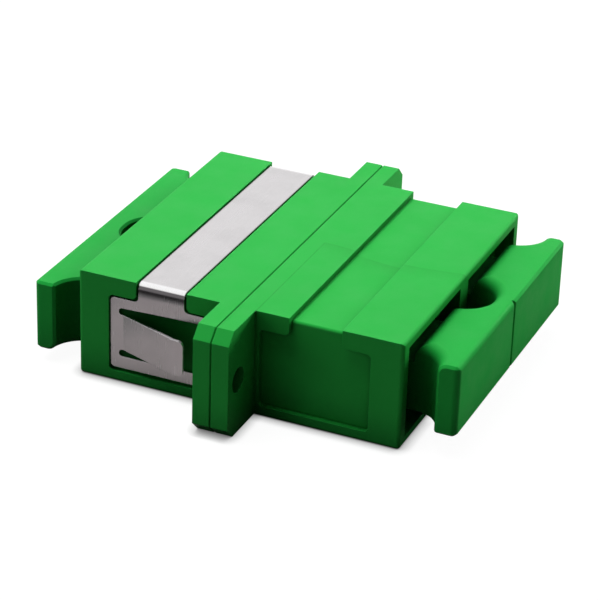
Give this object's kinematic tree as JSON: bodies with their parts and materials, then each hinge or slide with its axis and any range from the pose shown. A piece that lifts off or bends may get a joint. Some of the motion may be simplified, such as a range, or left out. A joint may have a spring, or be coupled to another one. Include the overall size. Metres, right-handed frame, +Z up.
{
  "type": "duplex flanged fibre optic adapter",
  "caption": "Green duplex fibre adapter with a screw flange, a sprung steel panel clip over one half and a dust plug in each end.",
  "frame": {"origin": "centre of the underside: in the seam plane between the halves, midway between the two ports, on the lowest face", "axes": "+X along the fibres towards the half without the clip, +Y across the two ports to the far one, +Z up, through the face that carries the clip's band"},
  "size_m": [0.0362, 0.0354, 0.0092],
  "materials": {
    "housing_plastic": "satin moulded green thermoplastic",
    "plug_plastic": "satin green polyethylene",
    "spring_steel": "rolled stainless spring strip",
    "insert_plastic": "satin moulded green thermoplastic",
    "ceramic": "ground white zirconia ceramic"
  },
  "bodies": {
    "adapter": {"housing_clip_side": "housing_plastic", "housing_plain_side": "housing_plastic", "panel_clip": "spring_steel", "latch_insert_clip_near": "insert_plastic", "latch_insert_clip_far": "insert_plastic", "latch_insert_plain_near": "insert_plastic", "latch_insert_plain_far": "insert_plastic", "split_sleeve_near": "ceramic", "split_sleeve_far": "ceramic"},
    "plug_clip_side": {"dust_plug_clip_side": "plug_plastic"},
    "plug_plain_side": {"dust_plug_plain_side": "plug_plastic"}
  },
  "joints": [
    {"name": "plain_side_plug_pull", "type": "slide", "parent": "adapter", "child": "plug_plain_side", "axis": [1, 0, 0], "range_m": [0, 0.011]},
    {"name": "clip_side_plug_pull", "type": "slide", "parent": "adapter", "child": "plug_clip_side", "axis": [-1, 0, 0], "range_m": [0, 0.011]}
  ]
}
